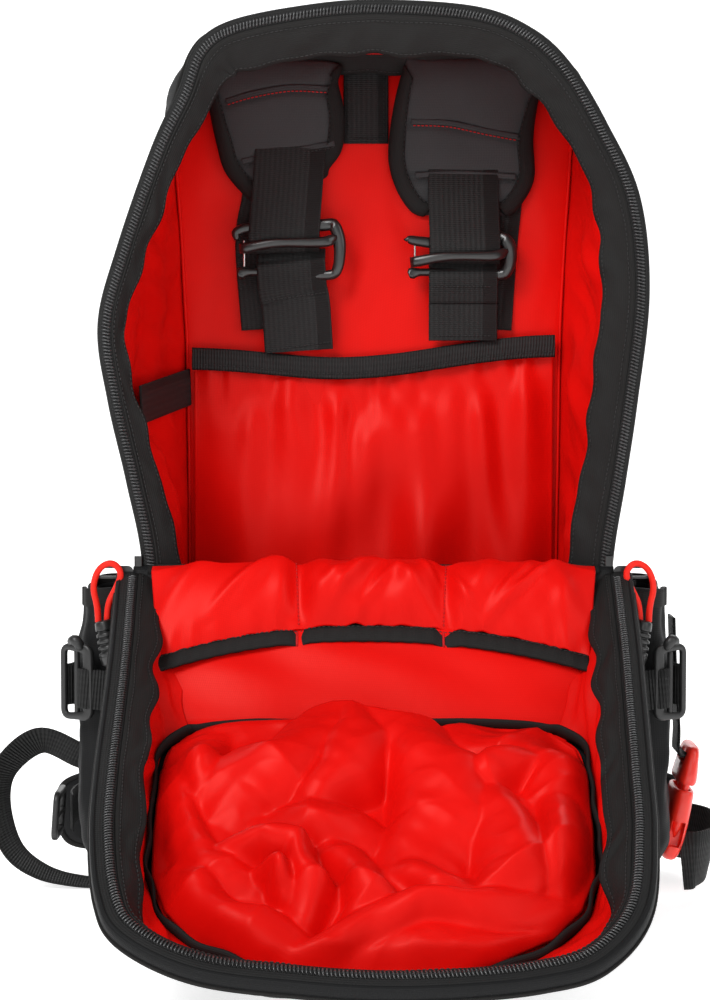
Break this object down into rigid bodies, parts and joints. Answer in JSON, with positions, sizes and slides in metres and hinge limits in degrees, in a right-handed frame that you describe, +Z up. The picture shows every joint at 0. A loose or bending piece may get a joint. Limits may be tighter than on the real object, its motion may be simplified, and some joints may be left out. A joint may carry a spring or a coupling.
{
  "type": "trauma backpack",
  "caption": "Black emergency backpack standing open: red-lined main compartment, front flap folded down, harness hooks, side straps and a red hip buckle.",
  "frame": {"origin": "on the floor below the middle of the pack, under the back half of its base", "axes": "+Z up, -Y towards the open side and the folded-down flap, +Y towards the wearer, +X to the right when looking into the open pack"},
  "size_m": [0.4757, 0.5073, 0.581],
  "materials": {
    "shell_nylon": "matt plain-weave nylon",
    "strap_ripstop": "fine ripstop over foam",
    "pad_mesh": "open spacer mesh",
    "lining_red": "satin-coated nylon taffeta",
    "webbing_black": "ribbed nylon webbing",
    "chain_black": "nylon coil",
    "metal_black": "satin black",
    "gate_steel": "bright wire",
    "plastic_black": "moulded acetal",
    "plastic_red": "glossy moulded acetal",
    "cord_red": "braided nylon",
    "stay_aluminium": "mill finish"
  },
  "bodies": {
    "pack": {"back_lining": "lining_red", "back_pads": "pad_mesh", "back_panel": "shell_nylon", "back_pocket": "lining_red", "back_pocket_binding": "shell_nylon", "body_zipper_chain": "chain_black", "body_zipper_tape": "shell_nylon", "buckle_female": "plastic_red", "compression_straps": "webbing_black", "frame_sheet": "plastic_black", "frame_stays": "stay_aluminium", "hanger_tab": "webbing_black", "hinge_piping": "shell_nylon", "hip_webbing_right": "webbing_black", "ladder_loops": "webbing_black", "ladder_webbing": "webbing_black", "lower_tub": "shell_nylon", "main_gusset": "shell_nylon", "main_lining": "lining_red", "rim_facing": "shell_nylon", "side_pocket_left": "shell_nylon", "side_pocket_right": "shell_nylon", "strap_anchors": "webbing_black", "strap_ends": "strap_ripstop", "strap_webbing": "webbing_black", "wall_band": "webbing_black", "webbing_hooks": "metal_black"},
    "flap": {"flap_shell": "shell_nylon", "flap_lining": "lining_red", "flap_facing": "shell_nylon", "flap_zipper_tape": "shell_nylon", "flap_zipper_chain": "chain_black", "flap_pocket": "lining_red", "flap_loose_lining": "lining_red", "flap_bindings": "shell_nylon"},
    "slider_left": {"zipper_slider_left": "metal_black"},
    "slider_right": {"zipper_slider_right": "metal_black"},
    "pull_left": {"pull_tab_left": "metal_black", "pull_cord_left": "cord_red", "pull_grip_left": "plastic_black"},
    "pull_right": {"pull_tab_right": "metal_black", "pull_cord_right": "cord_red", "pull_grip_right": "plastic_black"},
    "gate_left": {"hook_gate_left": "gate_steel"},
    "gate_right": {"hook_gate_right": "gate_steel"},
    "lock_left": {"ladder_lock_left": "plastic_black"},
    "lock_right": {"ladder_lock_right": "plastic_black"},
    "clip": {"buckle_male": "plastic_red", "buckle_strap": "webbing_black"},
    "prong_front": {"buckle_prong_front": "plastic_red"},
    "prong_rear": {"buckle_prong_rear": "plastic_red"},
    "fin_left": {"hip_fin_left": "strap_ripstop", "hip_webbing_left": "webbing_black", "tri_glide": "plastic_black"},
    "fin_right": {"hip_fin_right": "strap_ripstop"},
    "harness": {"shoulder_straps": "strap_ripstop", "lower_webbing": "webbing_black", "sternum_strap": "webbing_black", "sternum_clip": "plastic_black"},
    "handle": {"haul_handle": "webbing_black"}
  },
  "joints": [
    {"name": "flap_fold", "type": "hinge", "parent": "pack", "child": "flap", "pos_m": [0, -0.045, 0.222], "axis": [-1, 0, 0], "range_deg": [0, 121.5]},
    {"name": "slider_left_travel", "type": "slide", "parent": "pack", "child": "slider_left", "axis": [-0.1336, 0, 0.991], "range_m": [0, 0.12]},
    {"name": "slider_right_travel", "type": "slide", "parent": "pack", "child": "slider_right", "axis": [0.1336, 0, 0.991], "range_m": [0, 0.12]},
    {"name": "pull_left_swing", "type": "hinge", "parent": "slider_left", "child": "pull_left", "pos_m": [-0.15, -0.0438, 0.218], "axis": [-1, 0, 0], "range_deg": [0, 70]},
    {"name": "pull_right_swing", "type": "hinge", "parent": "slider_right", "child": "pull_right", "pos_m": [0.15, -0.0438, 0.218], "axis": [-1, 0, 0], "range_deg": [0, 70]},
    {"name": "gate_left_spring", "type": "hinge", "parent": "pack", "child": "gate_left", "pos_m": [-0.0864, 0.068, 0.431], "axis": [0, -1, 0], "range_deg": [0, 12], "stiffness_Nm_per_rad": 0.05},
    {"name": "gate_right_spring", "type": "hinge", "parent": "pack", "child": "gate_right", "pos_m": [0.0276, 0.068, 0.431], "axis": [0, -1, 0], "range_deg": [0, 12], "stiffness_Nm_per_rad": 0.05},
    {"name": "lock_left_tilt", "type": "hinge", "parent": "pack", "child": "lock_left", "pos_m": [-0.182, -0.044, 0.143], "axis": [0, 0, 1], "range_deg": [0, 30]},
    {"name": "lock_right_tilt", "type": "hinge", "parent": "pack", "child": "lock_right", "pos_m": [0.182, -0.044, 0.143], "axis": [0, 0, -1], "range_deg": [0, 30]},
    {"name": "buckle_release", "type": "slide", "parent": "pack", "child": "clip", "axis": [0, 0, 1], "range_m": [0, 0.018]},
    {"name": "prong_front_press", "type": "hinge", "parent": "clip", "child": "prong_front", "pos_m": [0.203, 0.007, 0.076], "axis": [1, 0, 0], "range_deg": [0, 6], "stiffness_Nm_per_rad": 0.5},
    {"name": "prong_rear_press", "type": "hinge", "parent": "clip", "child": "prong_rear", "pos_m": [0.203, 0.037, 0.076], "axis": [-1, 0, 0], "range_deg": [0, 6], "stiffness_Nm_per_rad": 0.5},
    {"name": "fin_left_swing", "type": "hinge", "parent": "pack", "child": "fin_left", "pos_m": [-0.108, 0.1088, 0.047], "axis": [0, 0, -1], "range_deg": [0, 70]},
    {"name": "fin_right_swing", "type": "hinge", "parent": "pack", "child": "fin_right", "pos_m": [0.108, 0.1088, 0.047], "axis": [0, 0, 1], "range_deg": [0, 70]},
    {"name": "harness_swing", "type": "hinge", "parent": "pack", "child": "harness", "pos_m": [0, 0.113, 0.532], "axis": [1, 0, 0], "range_deg": [0, 10]},
    {"name": "handle_swing", "type": "hinge", "parent": "pack", "child": "handle", "pos_m": [0, 0.1043, 0.5448], "axis": [-1, 0, 0], "range_deg": [0, 85]}
  ],
  "couplings": [
    {"joint": "prong_rear_press", "follows": "prong_front_press", "ratio": 1}
  ]
}
